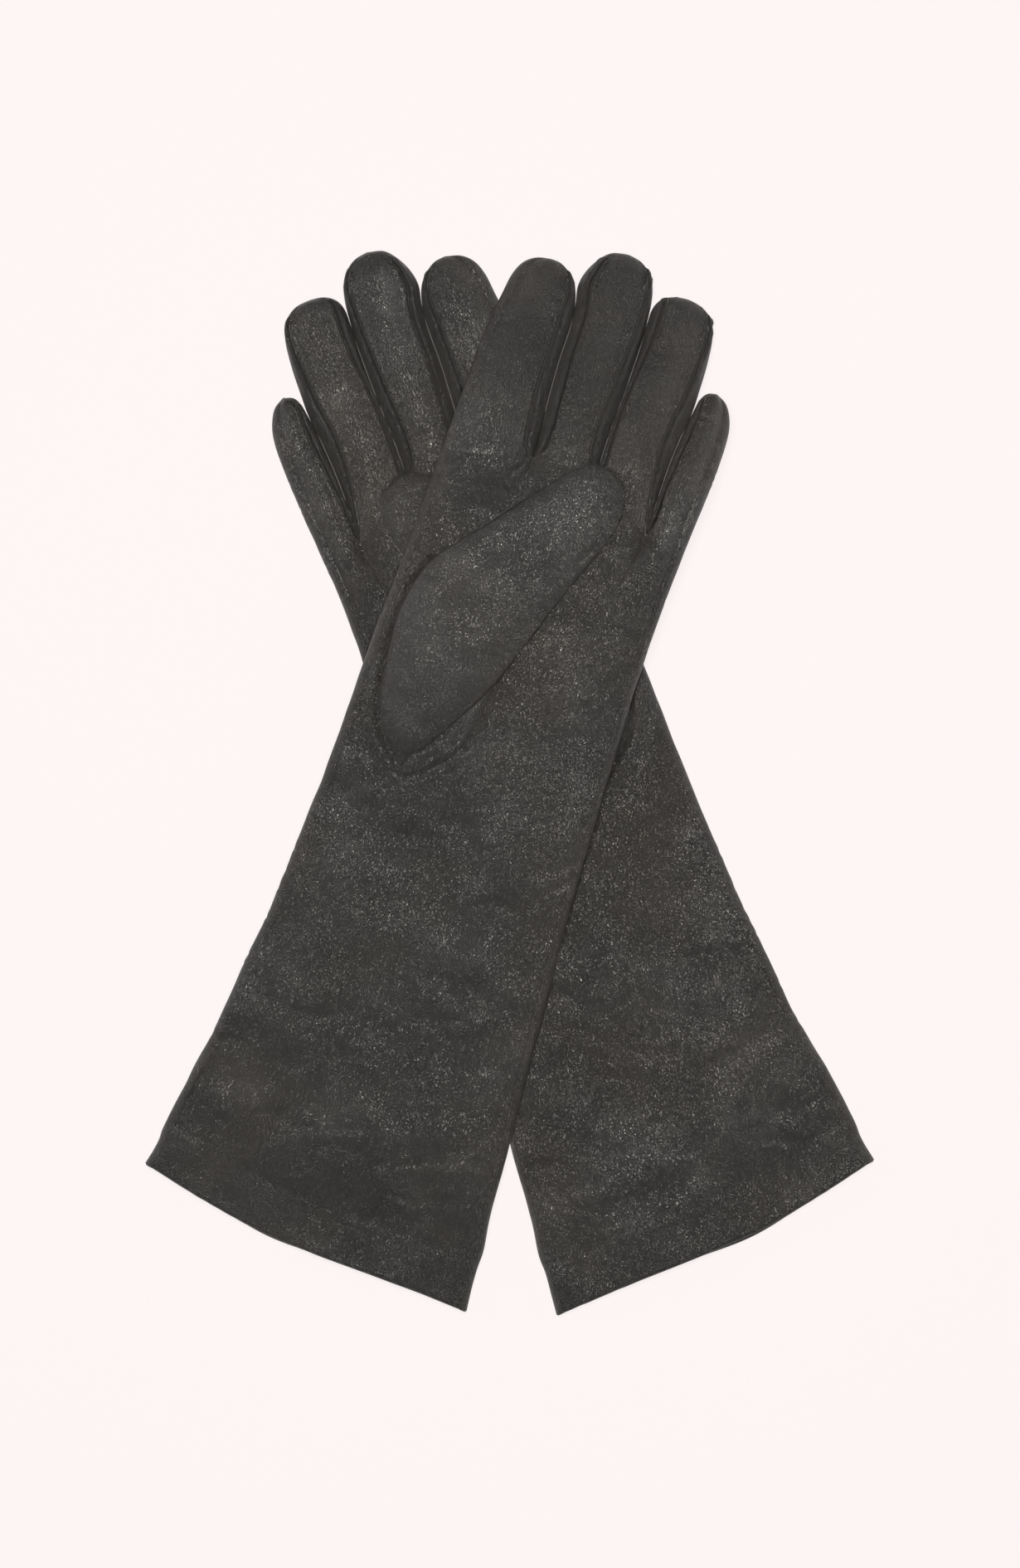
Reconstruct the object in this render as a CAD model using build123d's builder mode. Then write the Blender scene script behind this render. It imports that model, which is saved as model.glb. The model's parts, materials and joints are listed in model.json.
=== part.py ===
"""A pair of long leather dress gloves, laid crossed with both palms up.

Each glove is drawn flat in its own frame: the origin at the middle of the cuff's edge, +Y towards
the middle fingertip, +Z out of the palm and the thumb on the -X side of the left glove. The right
glove is the same pattern with X reversed. The right glove lies flat on the table and the left one
lies across it, tipped up by the lower thumb that it rests on.
"""

import os
from math import acos, asin, atan2, cos, degrees, hypot, radians, sin, tan

from build123d import *

# Leather and lining, in mm.
LEATHER = 0.6
LINING = 0.4
PLY_GAP = 0.1

# Thickness of the stuffed-out shapes.
HAND_THICK = 7.0
THUMB_THICK = 5.4
EDGE_ROUND = 0.48

# The hand and forearm outline: distance from the cuff's edge, middle, width.
CUFF_WIDTH = 118.5
FOREARM_WIDTH = 101.0
WRIST_WIDTH = 89.5
PALM_WIDTH = 88.4
CUFF_RUN_OUT = 14.0
FOREARM_AT = 85.0
WRIST_AT = 190.0
ROOTS_AT = 272.0
WRIST_SHIFT = 5.5
ROOTS_SHIFT = 9.0

# The cuff's slanted edge and its turned-in hem.
HEM_SLANT = 7.3
HEM_DEPTH = 16.0

# The line where the fingers leave the palm and, further on, the line where they fold.
ROOT_SLANT = 7.0
FOLD_AT = 281.5
FOLD_AT_X = 18.0
ROOT_LENGTH = 12.0
ROOT_OVERLAP = 6.0
FOLD_GAP = 0.4

# Each finger: middle at the fold line, tip across and along, width at the fold line, tip width,
# and on which sides it has a fourchette (-1 towards the thumb, 1 towards the little finger).
FINGERS = {
    "index": {"x": -20.6, "tip": (-20.4, 342.0), "width": 28.4, "tip_width": 24.6, "forks": (1,)},
    "middle": {"x": 5.2, "tip": (4.4, 352.5), "width": 21.6, "tip_width": 23.6, "forks": (-1, 1)},
    "ring": {"x": 27.2, "tip": (27.9, 343.0), "width": 21.0, "tip_width": 21.8, "forks": (-1, 1)},
    "little": {"x": 46.0, "tip": (47.3, 315.0), "width": 14.6, "tip_width": 13.6, "forks": (-1,)},
}
FORK_BAND = 0.56
FORK_DEPTH = 2.6
FORK_TIP = 6.0
FORK_OVERRUN = 6.0

# The thumb: circles at its point, its root and its tip, as x, y and radius, the place on its
# middle line where it folds, and the hole in the palm that it stands over.
THUMB_POINT = (-17.5, 168.0, 5.0)
THUMB_ROOT = (-14.0, 205.0, 18.3)
THUMB_TIP = (18.3, 266.7, 10.2)
THUMB_FOLD_AT = 14.5
THUMB_LIFT = 0.5
THUMB_HOLE = (11.0, 20.0)
THUMB_GUSSET = 3.2
THUMB_HOLE_AT = (-15.0, 194.0)

# Seam threads.
THREAD = 0.5
THREAD_GAP = 0.1
THREAD_FLAT = 0.4
THREAD_START = 1.0

# How the gloves lie: tilt from straight up, the distance between the cuffs' middles, and where
# along the left glove its underside bears on the right one's hand and on its thumb.
RIGHT_TILT = 18.7
LEFT_TILT = 17.4
CUFF_SPREAD = 137.8
REST_GAP = 0.3
HAND_BEARING_AT = 60.0
THUMB_BEARING_AT = 184.0
LEFT_DROOP = 18.0

PLY = LEATHER + PLY_GAP
WALL = PLY + LINING
THUMB_RISE = THUMB_LIFT + THUMB_THICK
LEFT_SLOPE = THUMB_RISE / (THUMB_BEARING_AT - HAND_BEARING_AT)
LEFT_PITCH = degrees(atan2(LEFT_SLOPE, 1))
LEFT_HEIGHT = HAND_THICK + REST_GAP - HAND_BEARING_AT * LEFT_SLOPE


def glove_plane(side, tilt, height, pitch):
    """The plane of a glove's underside. side is 1 for the left glove and -1 for the right."""
    cuff = Location((-side * CUFF_SPREAD / 2, 0, height), (-side * tilt, 0, pitch), Intrinsic.ZYX)
    return Plane(cuff)


def fold_y(x):
    """Where the fold line crosses x."""
    return FOLD_AT - tan(radians(ROOT_SLANT)) * (x - FOLD_AT_X)


def cross_plane(plane, side, x, y, slant, z=0.0):
    """An upright plane across the glove through (x, y), facing the fingertips."""
    tilted = Location((side * x, y, z), (0, 0, -side * slant))
    return Plane(plane.location * tilted * Location((0, 0, 0), (-90, 0, 0)))


def mirrored(side, points):
    return [(side * x, y) for x, y in points]


def soften(solid, plane, thick, ends):
    """Rounds the long edges of a slab, leaving those at its flat ends."""
    flats = solid.faces().filter_by(Axis(plane.origin, plane.z_dir))
    rims = flats.edges().sort_by(Axis(plane.origin, plane.y_dir))
    rims = rims[2:-2] if ends == 2 else rims[2:] if ends == 1 else rims
    return fillet(rims, EDGE_ROUND * thick)


def hand_sides(inset):
    """Points along the hand's thumb edge and its little-finger edge, drawn in by inset."""
    flare = (CUFF_WIDTH - FOREARM_WIDTH) / FOREARM_AT * CUFF_RUN_OUT
    stations = (
        (-CUFF_RUN_OUT, 0.0, CUFF_WIDTH + flare),
        (FOREARM_AT, WRIST_SHIFT * FOREARM_AT / WRIST_AT, FOREARM_WIDTH),
        (WRIST_AT, WRIST_SHIFT, WRIST_WIDTH),
        (ROOTS_AT, ROOTS_SHIFT, PALM_WIDTH),
    )
    sides = []
    for where in (-1, 1):
        points = [(middle + where * (width / 2 - inset), y) for y, middle, width in stations]
        end_x = points[-1][0]
        points[-1] = (end_x, fold_y(end_x) - ROOT_LENGTH - inset)
        sides.append(points)
    return sides


def hand_slab(plane, side, inset):
    """The flattened hand and forearm, drawn in by inset, past the cuff's edge and to the roots."""
    thumb_side, little_side = hand_sides(inset)
    with BuildPart() as slab:
        with BuildSketch(plane.offset(inset)):
            with BuildLine():
                Spline(*mirrored(side, thumb_side))
                Spline(*mirrored(side, little_side))
                for end in (0, -1):
                    Line(*mirrored(side, (thumb_side[end], little_side[end])))
            make_face()
        extrude(amount=HAND_THICK - 2 * inset)
        soften(slab, plane, HAND_THICK - 2 * inset, 2)
    return slab.part


def finger_plane(plane, side, finger, droop):
    """The plane of a finger's palm face: its origin on the fold line, +Y along the finger."""
    x = finger["x"]
    tip_x, tip_y = finger["tip"]
    lean = degrees(atan2(tip_x - x, tip_y - fold_y(x)))
    fold = Location((side * x, fold_y(x), HAND_THICK), (0, 0, -side * ROOT_SLANT))
    drop = Location((0, 0, 0), (-droop, 0, 0))
    turn = Location((0, 0, 0), (0, 0, side * (ROOT_SLANT - lean)))
    return Plane(plane.location * fold * drop * turn)


def finger_length(finger):
    return hypot(finger["tip"][0] - finger["x"], finger["tip"][1] - fold_y(finger["x"]))


def finger_taper(finger, inset=0.0):
    """(distance to the tip circle's middle, its radius, the sides' taper in radians)."""
    radius = finger["tip_width"] / 2 - inset
    middle = finger_length(finger) - inset - radius
    half = finger["width"] / 2 - inset
    return middle, radius, acos(radius / hypot(half, middle)) - atan2(middle, half)


def finger_slab(plane, finger, inset):
    """A flattened finger under plane, run back past the fold line to the roots."""
    middle, radius, taper = finger_taper(finger, inset)
    back = -ROOT_LENGTH - ROOT_OVERLAP
    touch = (radius * cos(taper), middle + radius * sin(taper))
    foot = (touch[0] + (touch[1] - back) * tan(taper), back)
    with BuildPart() as slab:
        with BuildSketch(plane.offset(inset - HAND_THICK)):
            with BuildLine():
                Line(foot, touch)
                ThreePointArc(touch, (0, middle + radius), (-touch[0], touch[1]))
                Line((-touch[0], touch[1]), (-foot[0], back))
                Line((-foot[0], back), foot)
            make_face()
        extrude(amount=HAND_THICK - 2 * inset)
        soften(slab, plane, HAND_THICK - 2 * inset, 1)
    return slab.part


def finger_side(plane, finger, where):
    """The location of a finger's side edge at mid height, with +Y along the edge."""
    half = finger["width"] / 2
    taper = finger_taper(finger)[2]
    return plane.location * Location((where * half, 0, -HAND_THICK / 2), (0, 0, where * degrees(taper)))


def fork_slab(plane, finger, where):
    """The box that cuts a finger's side wall out as a fourchette, ending short of the tip."""
    band = FORK_BAND * HAND_THICK
    end = finger_taper(finger)[0] - FORK_TIP
    with BuildPart() as slab:
        with BuildSketch(Plane(finger_side(plane, finger, where)).offset(-band / 2)):
            with Locations((0, (end - FORK_OVERRUN) / 2)):
                Rectangle(2 * FORK_DEPTH, end + FORK_OVERRUN)
        extrude(amount=band)
    return slab.part


def circle_chain(circles, inset):
    """The outline drawn tight round circles, listed counter-clockwise, as lines and arcs."""
    ends = []
    for (x0, y0, r0), (x1, y1, r1) in zip(circles, circles[1:] + circles[:1]):
        gap = hypot(x1 - x0, y1 - y0)
        out = atan2(y1 - y0, x1 - x0) - acos((r0 - r1) / gap)
        start = (x0 + (r0 - inset) * cos(out), y0 + (r0 - inset) * sin(out))
        stop = (x1 + (r1 - inset) * cos(out), y1 + (r1 - inset) * sin(out))
        ends.append((out, start, stop))
    for i, (out, start, stop) in enumerate(ends):
        Line(start, stop)
        x, y, r = circles[(i + 1) % len(circles)]
        away = ends[(i + 1) % len(ends)]
        turn = (away[0] - out) % radians(360)
        top = (x + (r - inset) * cos(out + turn / 2), y + (r - inset) * sin(out + turn / 2))
        ThreePointArc(stop, top, away[1])


def thumb_circles(side):
    """Point, tip and root circles, counter-clockwise on either glove."""
    ring = [(side * x, y, r) for x, y, r in (THUMB_POINT, THUMB_TIP, THUMB_ROOT)]
    return ring if side > 0 else ring[::-1]


def thumb_slab(plane, side, inset):
    """The flattened thumb lying on the palm."""
    with BuildPart() as slab:
        with BuildSketch(plane.offset(HAND_THICK + THUMB_LIFT + inset)):
            with BuildLine():
                circle_chain(thumb_circles(side), inset)
            make_face()
        extrude(amount=THUMB_THICK - 2 * inset)
        soften(slab, plane, THUMB_THICK - 2 * inset, 0)
    return slab.part


def thumb_hole(plane, side, low, high, grow):
    """An oval plug for the way into the thumb, between two heights."""
    with BuildPart() as plug:
        with BuildSketch(plane.offset(low)):
            with Locations((side * THUMB_HOLE_AT[0], THUMB_HOLE_AT[1])):
                Ellipse(THUMB_HOLE[0] + grow, THUMB_HOLE[1] + grow)
        extrude(amount=high - low)
    return plug.part


def hollow(outer, inner):
    """outer with inner taken out."""
    with BuildPart() as shell:
        add(outer)
        add(inner, mode=Mode.SUBTRACT)
    return shell.part


def trimmed(solid, low_plane, high_plane):
    """The stretch of solid between two planes that both face the fingertips."""
    with BuildPart() as stretch:
        add(solid)
        split(bisect_by=low_plane, keep=Keep.TOP)
        split(bisect_by=high_plane, keep=Keep.BOTTOM)
    return stretch.part


def hand_and_roots(plane, side, inset):
    """The hand with the four finger roots, drawn in by inset."""
    with BuildPart() as whole:
        add(hand_slab(plane, side, inset))
        for finger in FINGERS.values():
            add(finger_slab(finger_plane(plane, side, finger, 0), finger, inset))
    return whole.part


def hand_parts(plane, side):
    """The trank, its lining, the hem, the thumb gusset and the seam threads of the hand."""
    cuff = cross_plane(plane, side, 0, 0, HEM_SLANT)
    hem_end = cross_plane(plane, side, 0, HEM_DEPTH, HEM_SLANT)
    lining_start = cross_plane(plane, side, 0, HEM_DEPTH + REST_GAP, HEM_SLANT)
    fold = cross_plane(plane, side, FOLD_AT_X, FOLD_AT - FOLD_GAP / 2, ROOT_SLANT)
    top = HAND_THICK + THUMB_LIFT

    shell = hollow(hand_and_roots(plane, side, 0), hand_and_roots(plane, side, LEATHER))
    shell = hollow(shell, thumb_hole(plane, side, HAND_THICK / 2, top, THUMB_GUSSET))
    parts = {"trank": trimmed(shell, cuff, fold)}

    shell = hollow(hand_and_roots(plane, side, PLY), hand_and_roots(plane, side, WALL))
    shell = hollow(shell, thumb_hole(plane, side, HAND_THICK / 2, top, 0))
    parts["hand_lining"] = trimmed(shell, lining_start, fold)

    band = hollow(hand_slab(plane, side, PLY), hand_slab(plane, side, PLY + LEATHER))
    parts["cuff_hem"] = trimmed(band, cuff, hem_end)

    ring = thumb_hole(plane, side, HAND_THICK - LEATHER, HAND_THICK, THUMB_GUSSET)
    parts["thumb_gusset"] = hollow(ring, thumb_hole(plane, side, 0, top, 0))

    low = HAND_THICK + THREAD_GAP
    ring = thumb_hole(plane, side, low, low + THREAD_FLAT, THUMB_GUSSET + THREAD)
    parts["thumb_seam_thread"] = hollow(ring, thumb_hole(plane, side, 0, top, THUMB_GUSSET))

    parts["side_seam_thread"] = trimmed(side_thread(plane, side), cuff, fold)
    return parts


def side_thread(plane, side):
    """The thread of the seam along the little finger's edge of the hand and forearm."""
    with BuildPart() as thread:
        add(little_half(plane, side, -THREAD_GAP - THREAD, THREAD))
        add(little_half(plane, side, -THREAD_GAP, 2 * THREAD), mode=Mode.SUBTRACT)
    return thread.part


def little_half(plane, side, inset, thick):
    """A thin slab of the hand's little-finger half at mid height, as wide as the hand less inset."""
    edge = hand_sides(inset)[1]
    end_x = edge[-1][0]
    edge[-1] = (end_x, fold_y(end_x) - ROOT_LENGTH)
    with BuildPart() as slab:
        with BuildSketch(plane.offset((HAND_THICK - thick) / 2)):
            with BuildLine():
                Spline(*mirrored(side, edge))
                Polyline(*mirrored(side, (edge[0], (0, edge[0][1]), (0, edge[-1][1]), edge[-1])))
            make_face()
        extrude(amount=thick)
    return slab.part


def finger_parts(plane, side, name, droop):
    """A finger's stall, its fourchettes, lining and seam thread, past the fold line."""
    finger = FINGERS[name]
    own = finger_plane(plane, side, finger, droop)
    start = cross_plane(plane, side, FOLD_AT_X, FOLD_AT + FOLD_GAP / 2, ROOT_SLANT)

    stall = hollow(finger_slab(own, finger, 0), finger_slab(own, finger, LEATHER))
    lining = hollow(finger_slab(own, finger, PLY), finger_slab(own, finger, WALL))
    forks = finger["forks"]
    cutters = [fork_slab(own, finger, side * fork) for fork in forks]
    labels = {forks[0]: "fourchette"}
    if len(forks) == 2:
        labels = {-1: "inner_fourchette", 1: "outer_fourchette"}
    parts = {}
    for fork, cutter in zip(forks, cutters):
        with BuildPart() as wall:
            add(stall)
            add(cutter, mode=Mode.INTERSECT)
            split(bisect_by=start, keep=Keep.TOP)
        parts[f"{name}_{labels[fork]}"] = wall.part
    with BuildPart() as body:
        add(stall)
        for cutter in cutters:
            add(cutter, mode=Mode.SUBTRACT)
        split(bisect_by=start, keep=Keep.TOP)
    parts[f"{name}_finger"] = body.part
    with BuildPart() as inside:
        add(lining)
        split(bisect_by=start, keep=Keep.TOP)
    parts[f"{name}_lining"] = inside.part
    with BuildPart() as seams:
        for fork in forks:
            add(finger_thread(own, finger, side * fork))
    parts[f"{name}_seam_thread"] = seams.part
    return parts


def finger_thread(plane, finger, where):
    """The thread that lies along a fourchette's palm-side seam."""
    radius = EDGE_ROUND * HAND_THICK
    bulge = HAND_THICK / 2 - radius
    rise = asin((FORK_BAND * HAND_THICK / 2 - bulge) / radius)
    reach = radius + THREAD_GAP + THREAD / 2
    across = where * (reach * cos(rise) - radius)
    seat = Location((across, THREAD_START, reach * sin(rise) + bulge), (-90, 0, 0))
    with BuildPart() as thread:
        with BuildSketch(Plane(finger_side(plane, finger, where) * seat)):
            Circle(THREAD / 2)
        extrude(amount=finger_taper(finger)[0] - FORK_TIP - THREAD_START)
    return thread.part


def thumb_fold(plane, side, past):
    """The upright plane across the thumb, past its fold line by a distance towards its tip."""
    run = (THUMB_TIP[0] - THUMB_ROOT[0], THUMB_TIP[1] - THUMB_ROOT[1])
    lean = atan2(run[0], run[1])
    along = THUMB_FOLD_AT + past
    x = THUMB_ROOT[0] + along * sin(lean)
    y = THUMB_ROOT[1] + along * cos(lean)
    return cross_plane(plane, side, x, y, degrees(lean))


def thumb_parts(plane, side):
    """The thumb and its lining, each with a base over the hole in the palm and a stall that folds."""
    middle = HAND_THICK + THUMB_LIFT + THUMB_THICK / 2
    hole = thumb_hole(plane, side, HAND_THICK, middle, 0)
    walls = {"": (0, LEATHER), "_lining": (PLY, WALL)}
    parts = {}
    for suffix, (outside, inside) in walls.items():
        shell = hollow(thumb_slab(plane, side, outside), thumb_slab(plane, side, inside))
        with BuildPart() as base:
            add(hollow(shell, hole))
            split(bisect_by=thumb_fold(plane, side, -FOLD_GAP / 2), keep=Keep.BOTTOM)
        with BuildPart() as stall:
            add(shell)
            split(bisect_by=thumb_fold(plane, side, FOLD_GAP / 2), keep=Keep.TOP)
        parts["thumb_base" + suffix] = base.part
        parts["thumb" + suffix] = stall.part
    return parts


def glove(side, tilt, height, pitch, droop):
    """Every piece of one glove, by name."""
    plane = glove_plane(side, tilt, height, pitch)
    parts = hand_parts(plane, side)
    parts |= thumb_parts(plane, side)
    for name in FINGERS:
        parts |= finger_parts(plane, side, name, droop)
    hand = "left" if side > 0 else "right"
    return {f"{hand}_{name}": part for name, part in parts.items()}


def pair():
    """Both gloves, moved so that the origin is under the middle of the pair."""
    parts = glove(-1, RIGHT_TILT, 0, 0, 0)
    parts |= glove(1, LEFT_TILT, LEFT_HEIGHT, LEFT_PITCH, LEFT_DROOP)
    box = Compound([solid for part in parts.values() for solid in part.solids()]).bounding_box()
    shift = Location((-(box.min.X + box.max.X) / 2, -(box.min.Y + box.max.Y) / 2, -box.min.Z))
    return parts, shift


def main():
    os.makedirs("parts", exist_ok=True)
    parts, shift = pair()
    for name, part in parts.items():
        placed = part.moved(shift)
        placed.label = name
        export_step(placed, f"parts/{name}.step")
    print("shift", shift.position, "pieces", len(parts))


if __name__ == "__main__":
    main()
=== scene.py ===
"""A pair of long leather dress gloves lying crossed with their palms up.

Each glove's leather is one skin in the glove's own frame, in millimetres: +y to the fingertips, +x to the
little finger, +z out of the palm. It is set down where the CAD joints say and cut into the CAD's pieces.
"""

import json
import math
from types import SimpleNamespace

import bpy
import numpy as np
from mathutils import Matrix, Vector


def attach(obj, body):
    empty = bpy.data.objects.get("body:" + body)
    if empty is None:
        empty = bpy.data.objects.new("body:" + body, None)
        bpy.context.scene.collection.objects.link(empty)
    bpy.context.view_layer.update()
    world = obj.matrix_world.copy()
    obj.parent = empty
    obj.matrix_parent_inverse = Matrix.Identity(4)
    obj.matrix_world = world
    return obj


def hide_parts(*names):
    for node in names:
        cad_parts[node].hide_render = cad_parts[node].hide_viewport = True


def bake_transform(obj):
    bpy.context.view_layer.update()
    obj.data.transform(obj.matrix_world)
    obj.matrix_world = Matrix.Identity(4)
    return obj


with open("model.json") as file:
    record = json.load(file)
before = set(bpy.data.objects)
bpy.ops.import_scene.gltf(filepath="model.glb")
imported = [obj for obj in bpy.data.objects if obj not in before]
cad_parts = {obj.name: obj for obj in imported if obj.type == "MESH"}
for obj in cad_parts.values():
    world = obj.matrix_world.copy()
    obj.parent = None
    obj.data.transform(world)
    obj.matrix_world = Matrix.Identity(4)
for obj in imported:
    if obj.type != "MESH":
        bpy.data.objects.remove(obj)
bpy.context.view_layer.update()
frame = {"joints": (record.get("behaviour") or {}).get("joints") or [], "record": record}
JOINTS = {j["name"]: j for j in frame["joints"]}
BODIES = frame["record"]["behaviour"]["bodies"]

# ---- the gloves' sizes, in mm, in each glove's own frame ----
FOLD_SLANT = math.tan(math.radians(7.0))  # the fingers' folds cross the hand at this slope
FOLD_AT = (5.2, 281.5 + 12.8 * FOLD_SLANT)  # where the middle finger's fold crosses its middle
PALM_TOP = 7.0  # the CAD palm's height over the glove's flat back
PITCH = {"left": math.atan(0.0476), "right": 0.0}  # the upper glove climbs over the lower one
TILT = {"left": -17.4, "right": 18.7}
DROOP = {"left": 18.0, "right": 0.0}  # the upper glove's fingers hang down to the table
FINGER_DRAW = 0.04  # the outlines below are as seen from above, so drawn out by this share
HEM_DEPTH = 16.0
HAND_LENGTH = 268.0  # from the hem to the fingers

INDEX_EDGE = [
    (-59.3, 8.1), (-57.4, 16.5), (-57.0, 23), (-54.2, 40.5), (-49.9, 62), (-47.4, 85), (-44.5, 106),
    (-42.4, 132), (-40.6, 160), (-39.2, 191), (-38.2, 215), (-36.6, 243), (-35.4, 268),
]
LITTLE_EDGE = [
    (59.0, -7.2), (58.0, 6.0), (58.2, 14), (56.8, 26), (55.5, 52), (53.6, 86), (52.0, 120), (51.0, 150),
    (50.8, 180), (50.1, 212), (50.8, 240), (52.1, 256),
]
HEM_SAG = [(0, 0), (0.18, -2.6), (0.36, -4.2), (0.55, -3.2), (0.82, -1.0), (1, 0)]
CROTCHES = [(-5.5, 273.0), (16.3, 275.4), (38.3, 259.7)]

# where neighbouring fingers lie against each other, from the hand up
INDEX_MIDDLE = [(-5.5, 273), (-6.0, 285), (-6.6, 298), (-6.9, 309), (-6.7, 320), (-7.4, 328)]
MIDDLE_RING = [(16.3, 275.4), (16.5, 290), (17.3, 305), (17.7, 320), (17.5, 329)]
RING_LITTLE = [(38.3, 259.7), (38.3, 272), (38.7, 285), (39.7, 296), (40.9, 304)]

# each finger: its left and right outlines from the hand to the tip, then its palm-side seams' insets
# from those outlines, as (share of the finger's length, mm)
FINGERS = {
    "index": dict(
        left=[(-35.4, 268), (-34.9, 283), (-34.1, 300), (-33.3, 314), (-32.0, 324), (-31.0, 331),
              (-28.9, 336), (-25.2, 339.2), (-20.0, 340.6)],
        right=[*INDEX_MIDDLE, (-9.2, 333.6), (-12, 337.2), (-15.8, 339.8), (-20.0, 340.6)],
        in_left=[(0, 3.2), (0.6, 3.4), (0.85, 3.0), (1, 1.5)],
        in_right=[(0, 0), (0.045, 3.2), (0.12, 4.3), (0.25, 4.8), (0.5, 4.3), (0.68, 4.0), (0.8, 2.4),
                  (0.9, 1.1), (1, 0.4)],
    ),
    "middle": dict(
        left=[*INDEX_MIDDLE, (-8.5, 334.5), (-7.4, 339.9), (-4.8, 344.7), (-1.2, 348.4), (4.4, 349.8)],
        right=[*MIDDLE_RING, (16.9, 336.5), (15.5, 342), (13.0, 345.9), (9.2, 348.7), (4.4, 349.8)],
        in_left=[(0, 0), (0.045, 2.8), (0.12, 4.1), (0.25, 4.4), (0.5, 4.0), (0.68, 4.3), (0.8, 3.6),
                 (0.92, 1.6), (1, 0.5)],
        in_right=[(0, 0), (0.045, 3.1), (0.12, 4.5), (0.2, 4.8), (0.4, 4.2), (0.6, 3.4), (0.75, 2.4),
                  (0.88, 1.0), (1, 0.5)],
    ),
    "ring": dict(
        left=[*MIDDLE_RING, (17.7, 334.4), (19.3, 338.0), (22.9, 340.3), (28.0, 341.0)],
        right=[*RING_LITTLE, (41.1, 313), (41.0, 322), (40.2, 330.5), (38.0, 336.3), (33.7, 339.9),
               (28.0, 341.0)],
        in_left=[(0, 0), (0.045, 2.0), (0.12, 2.2), (0.25, 1.7), (0.45, 1.9), (0.65, 3.4), (0.8, 3.6),
                 (0.92, 1.4), (1, 0.5)],
        in_right=[(0, 0), (0.05, 1.2), (0.12, 2.6), (0.25, 4.6), (0.45, 5.3), (0.62, 4.0), (0.75, 2.8),
                  (0.88, 1.1), (1, 0.5)],
    ),
    "little": dict(
        left=[*RING_LITTLE, (41.9, 309.4), (43.7, 312.4), (47.0, 313.5)],
        right=[(52.1, 256), (52.9, 266), (54.2, 282), (54.7, 292), (54.7, 300.4), (53.6, 306.1),
               (51.0, 310.9), (47.0, 313.5)],
        in_left=[(0, 0), (0.1, 1.1), (0.3, 1.9), (0.5, 2.8), (0.7, 3.0), (0.85, 1.9), (1, 0.6)],
        in_right=[(0, 3.2), (0.8, 3.0), (1, 1.5)],
    ),
}
THUMB_LEFT = [
    (-17.1, 161.8), (-25.6, 169.8), (-29.7, 178), (-31.7, 189), (-32.8, 206), (-31.6, 219), (-27.4, 231),
    (-19, 241.4), (-8, 254.2), (1.6, 265.6), (7.8, 272.6), (14.4, 277.2), (20.5, 277.2),
]
THUMB_RIGHT = [
    (-17.1, 161.8), (-9.6, 172.9), (-2.3, 183.8), (4.6, 197), (9.6, 210), (14.4, 223.4), (20.4, 239),
    (25.6, 251.4), (28.2, 259.6), (28.2, 267.4), (25.8, 273.4), (20.5, 277.2),
]
THUMB_FOLD = (-7.3, 217.8)  # the middle of the fold across the thumb's root
THUMB_LEAN = math.radians(27.6)  # the thumb points this far off the hand's length, to the little finger
THUMB_CUT = -6.0  # where the thumb's own piece starts, before its fold
GUSSET_SEAM = [
    (-18.4, 160.6), (-13.7, 158.9), (-5.6, 165.4), (1.6, 175.0), (4.6, 190.0), (4.4, 205.5), (2.0, 214.0),
]

# where each panel lies on the hide, so that no two share their grain
BACK_HIDE, THUMB_HIDE, THUMB_BACK_HIDE, GUSSET_HIDE, HEM_HIDE = 260, 400, 460, 520, 600
FAR = 99.0  # the distance to a seam where there is none
SEEDS = {"left": 11, "right": 47}  # each glove's own swells and creases

# ---- small tools ----


def smooth(x):
    """From 0 to 1 with no corner at either end."""
    x = np.clip(x, 0, 1)
    return x * x * (3 - 2 * x)


def through(points, at):
    """Points at these shares of the length of a smooth curve through the given points."""
    p = np.array(points, float)
    ends = np.vstack([2 * p[0] - p[1], p, 2 * p[-1] - p[-2]])
    s = np.linspace(0, 1, 14, endpoint=False)[:, None]
    runs = []
    for a, b, c, d in zip(ends, ends[1:], ends[2:], ends[3:]):
        runs.append(b + 0.5 * s * (c - a + s * (2 * a - 5 * b + 4 * c - d + s * (3 * b - a - 3 * c + d))))
    line = np.vstack(runs + [p[-1:]])
    run = np.r_[0, np.cumsum(np.hypot(*np.diff(line, axis=0).T))]
    where = np.asarray(at) * run[-1]
    return np.stack([np.interp(where, run, line[:, k]) for k in range(p.shape[1])], -1)


def level(pairs, at):
    """A value that passes smoothly through (share, value) pairs."""
    x, y = np.array(pairs, float).T
    at = np.asarray(at, float)
    slope = np.gradient(y, x)
    i = np.clip(np.searchsorted(x, at, side="right") - 1, 0, len(x) - 2)
    h = x[i + 1] - x[i]
    u = (at - x[i]) / h
    return (
        y[i] * (1 + 2 * u) * (1 - u) ** 2 + y[i + 1] * u * u * (3 - 2 * u)
        + h * u * (1 - u) * (slope[i] * (1 - u) - slope[i + 1] * u)
    )


def ripple(x, y, size, seed, waves=14):
    """A soft uneven surface about 1 high, whose swells are about size across."""
    rng = np.random.default_rng(seed)
    total = np.zeros(np.shape(x))
    for _ in range(waves):
        turn, phase = rng.uniform(0, 2 * math.pi, 2)
        k = 2 * math.pi / (size * rng.uniform(0.75, 1.5))
        total += np.sin(k * (x * math.cos(turn) + y * math.sin(turn)) + phase)
    return total / math.sqrt(waves / 2) / 1.6


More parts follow.
